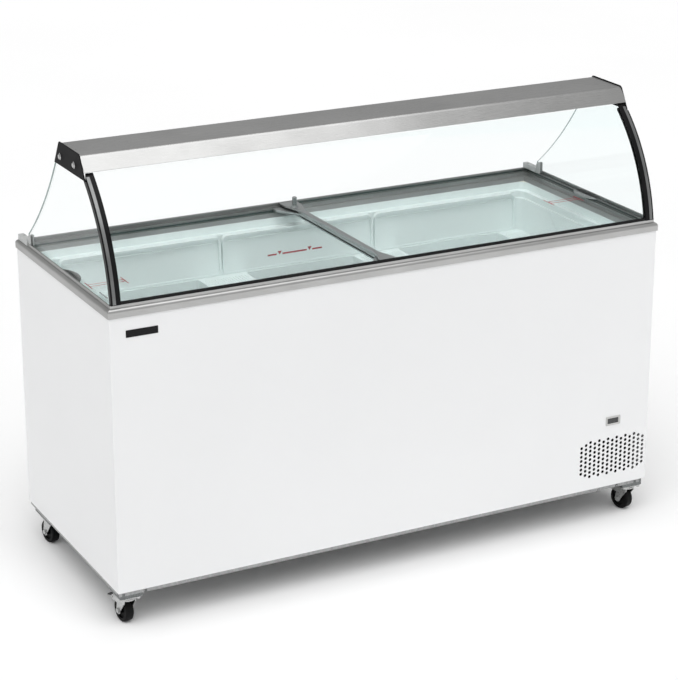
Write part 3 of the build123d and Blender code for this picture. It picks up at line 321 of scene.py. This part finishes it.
# ---------------------------------------------------------------- printed marks
def solid_piece(name, body, material, outlines, origin, across, up, thickness):
    """A thin closed piece made of flat outlines, placed at origin on the plane of across and up."""
    across, up = Vector(across), Vector(up)
    outward = across.cross(up)
    mesh = bpy.data.meshes.new(name)
    work = bmesh.new()
    for outline in outlines:
        foot = [work.verts.new(origin + across * x + up * y) for x, y in outline]
        face = work.faces.new(foot)
        grown = bmesh.ops.extrude_face_region(work, geom=[face])["geom"]
        moved = [item for item in grown if isinstance(item, bmesh.types.BMVert)]
        bmesh.ops.translate(work, verts=moved, vec=outward * thickness)
    bmesh.ops.recalc_face_normals(work, faces=work.faces)
    work.to_mesh(mesh)
    work.free()
    piece = bpy.data.objects.new(name, mesh)
    bpy.context.scene.collection.objects.link(piece)
    mesh.materials.append(material)
    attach(piece, body)


def bar(x, y, width, height):
    """Outline of a rectangle centred on (x, y)."""
    w, h = width / 2, height / 2
    return [(x - w, y - h), (x + w, y - h), (x + w, y + h), (x - w, y + h)]


INK_RED = finish("red_ink", (0.40, 0.012, 0.018), (0.50, 0.025, 0.03), (0.40, 0.60), cloud=60,
                 grain=1500, depth=0.01)
INK_DARK = finish("grey_ink", (0.05, 0.055, 0.055), (0.09, 0.095, 0.095), (0.40, 0.60), cloud=60,
                  grain=1500, depth=0.01)
INK_T = 0.25 * MM


def struck(node, start, direction):
    """Where a ray from start meets a CAD node."""
    hit, place, _, _ = nodes[node].ray_cast(Vector(start), Vector(direction))
    if not hit:
        raise ValueError(f"nothing of {node} lies that way from {start}")
    return place


# The load line: a broken stroke and two triangles on the rear wall of the tank.
LOAD_LINE_X = -0.010
LOAD_LINE_Z = 0.686
LOAD_LINE_STROKE = 4.2 * MM
STROKE_SPANS = ((-80, -54), (-37, 34.6), (51, 80))       # mm along it
TRIANGLES_AT = (-45 * MM, 43 * MM)
TIP_BELOW = 2 * MM       # a triangle's tip, below the stroke's middle
TOP_ABOVE = 8 * MM       # and its top, above it
TRIANGLE_HALF = 6 * MM   # half its width

load_line_at = struck("inner_liner", (LOAD_LINE_X, 0.0, LOAD_LINE_Z), (0, 1, 0))
load_line = []
for low, high in STROKE_SPANS:
    load_line.append(bar((low + high) / 2 * MM, 0, (high - low) * MM, LOAD_LINE_STROKE))
for middle in TRIANGLES_AT:
    load_line.append([
        (middle, -TIP_BELOW),
        (middle + TRIANGLE_HALF, TOP_ABOVE),
        (middle - TRIANGLE_HALF, TOP_ABOVE),
    ])
solid_piece("load_line_mark", "cabinet", INK_RED, load_line, load_line_at - Vector((0, INK_T, 0)),
            (1, 0, 0), (0, 0, 1), INK_T)

# The marks on the lids' glass.
ARROW_LENGTH = 92 * MM
ARROW_PITCH = 15 * MM    # between its two lines
ARROW_BAR = 50 * MM      # across each end
ARROW_STROKE = 2.2 * MM
HEAD_BACK = 14 * MM      # how far the head's wings reach back
HEAD_HALF = 9 * MM       # and to each side
HEAD_STROKE = 4 * MM


def slide_arrow(heading):
    """A two-line arrow towards +X or -X, with a bar across each end and a small head."""
    outlines = [
        bar(ARROW_LENGTH / 2, side * ARROW_PITCH / 2, ARROW_LENGTH, ARROW_STROKE)
        for side in (-1, 1)
    ]
    for x in (0, ARROW_LENGTH):
        outlines.append(bar(x, 0, ARROW_STROKE, ARROW_BAR))
    head = ARROW_LENGTH if heading > 0 else 0
    for side in (-1, 1):
        outlines.append([
            (head, 0),
            (head - heading * HEAD_BACK, side * HEAD_HALF),
            (head - heading * (HEAD_BACK - HEAD_STROKE), side * HEAD_HALF),
            (head + heading * HEAD_STROKE, 0),
        ])
    return outlines


def lid_mark(name, lid, material, outlines, x, y):
    """Outlines printed on top of a lid's glass, with their origin at (x, y)."""
    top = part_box(lid + "_glass")[1].z
    solid_piece(name, lid, material, outlines, Vector((x, y, top)), (1, 0, 0), (0, 1, 0), INK_T)


left_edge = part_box("left_lid_glass")[0].x
right_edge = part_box("right_lid_glass")[1].x
lid_mark("left_lid_arrow", "left_lid", INK_RED, slide_arrow(1), left_edge + 14 * MM, -84 * MM)
lid_mark("right_lid_arrow", "right_lid", INK_RED, slide_arrow(-1),
         right_edge - 128 * MM, -20 * MM)
lid_mark("left_lid_mark", "left_lid", INK_DARK, [bar(0, 0, 3 * MM, 50 * MM)],
         left_edge + 20 * MM, -165 * MM)

# ---------------------------------------------------------------- floor
FLOOR_HALF = 40.0            # metres, far enough out to have no edge in view
floor_mesh = bpy.data.meshes.new("floor")
floor_mesh.from_pydata(
    [(-FLOOR_HALF, -FLOOR_HALF, 0), (FLOOR_HALF, -FLOOR_HALF, 0), (FLOOR_HALF, FLOOR_HALF, 0),
     (-FLOOR_HALF, FLOOR_HALF, 0)],
    [], [(0, 1, 2, 3)],
)
floor = bpy.data.objects.new("floor", floor_mesh)
bpy.context.scene.collection.objects.link(floor)
floor_mesh.materials.append(
    finish("pale_floor", (0.95, 0.95, 0.95), (0.97, 0.97, 0.97), (0.80, 0.90), cloud=0.6, grain=60,
           depth=0.05, Specular_IOR_Level=0.0)
)

# ---------------------------------------------------------------- light
# A white sky, dimmer towards the right and the back.
world = bpy.data.worlds.new("studio")
world.use_nodes = True
bpy.context.scene.world = world
sky = world.node_tree
background = sky.nodes["Background"]
direction = sky.nodes.new("ShaderNodeTexCoord")
split = sky.nodes.new("ShaderNodeSeparateXYZ")
sky.links.new(direction.outputs["Generated"], split.inputs["Vector"])
product = sky.nodes.new("ShaderNodeMath")
product.operation = "MULTIPLY"
rightward = spread(sky, split.outputs["X"], 0.68, 0.46, start=-0.3, end=0.8)
backward = spread(sky, split.outputs["Y"], 1.0, 0.82, start=0.0, end=0.85)
sky.links.new(rightward, product.inputs[0])
sky.links.new(backward, product.inputs[1])
sky.links.new(product.outputs[0], background.inputs["Strength"])
background.inputs["Color"].default_value = (1.0, 1.0, 1.0, 1)


def lamp(name, kind, place, target, energy, **settings):
    """A light of that kind at place, turned to target."""
    data = bpy.data.lights.new(name, kind)
    data.energy = energy
    for setting, value in settings.items():
        setattr(data, setting, value)
    made = bpy.data.objects.new(name, data)
    made.location = place
    made.rotation_euler = (Vector(target) - Vector(place)).to_track_quat("-Z", "Y").to_euler()
    bpy.context.scene.collection.objects.link(made)
    return made


MIDDLE = (0.0, 0.0, 0.6)     # what the sun points at
sun = lamp("soft_sun", "SUN", (-1.1, -2.6, 6.0), MIDDLE, energy=1.65, angle=math.radians(60))
sun.visible_glossy = False

# A card overhead that shows in glossy surfaces and lights no diffuse ones.
card = lamp("reflection_card", "AREA", (-0.55, -1.25, 3.7), (-0.55, -1.25, 0.0), energy=60,
            shape="RECTANGLE", size=4.4, size_y=3.1)
card.visible_diffuse = False

# A soft fill from above the tank, aimed down into it.
tank_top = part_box("inner_liner")[1].z
tank = lamp("tank_fill", "AREA", (0.0, -0.16, tank_top + 0.20), (0.0, 0.20, tank_top - 0.10),
            energy=0.75, shape="RECTANGLE", size=1.3, size_y=0.45)
tank.visible_glossy = False

# ---------------------------------------------------------------- camera
CAMERA_AT = (-2.4465, -4.7029, 2.4233)
CAMERA_YAW = 0.4789          # turned right from +Y
CAMERA_PITCH = -0.3210       # below the horizon
SENSOR = 36.0                # mm
FOCAL = 2.1837 / 0.680       # focal length over the sensor's size
SHIFT_UP = -0.08             # vertical lens shift, as a share of the sensor
camera_data = bpy.data.cameras.new("camera")
camera_data.sensor_width = SENSOR
camera_data.lens = FOCAL * SENSOR
camera_data.shift_y = SHIFT_UP
camera_data.clip_start = 0.1
camera_data.clip_end = 200
camera = bpy.data.objects.new("camera", camera_data)
camera.location = CAMERA_AT
camera.rotation_euler = (math.pi / 2 + CAMERA_PITCH, 0, -CAMERA_YAW)
bpy.context.scene.collection.objects.link(camera)
bpy.context.scene.camera = camera
bpy.context.scene.view_settings.view_transform = "Standard"
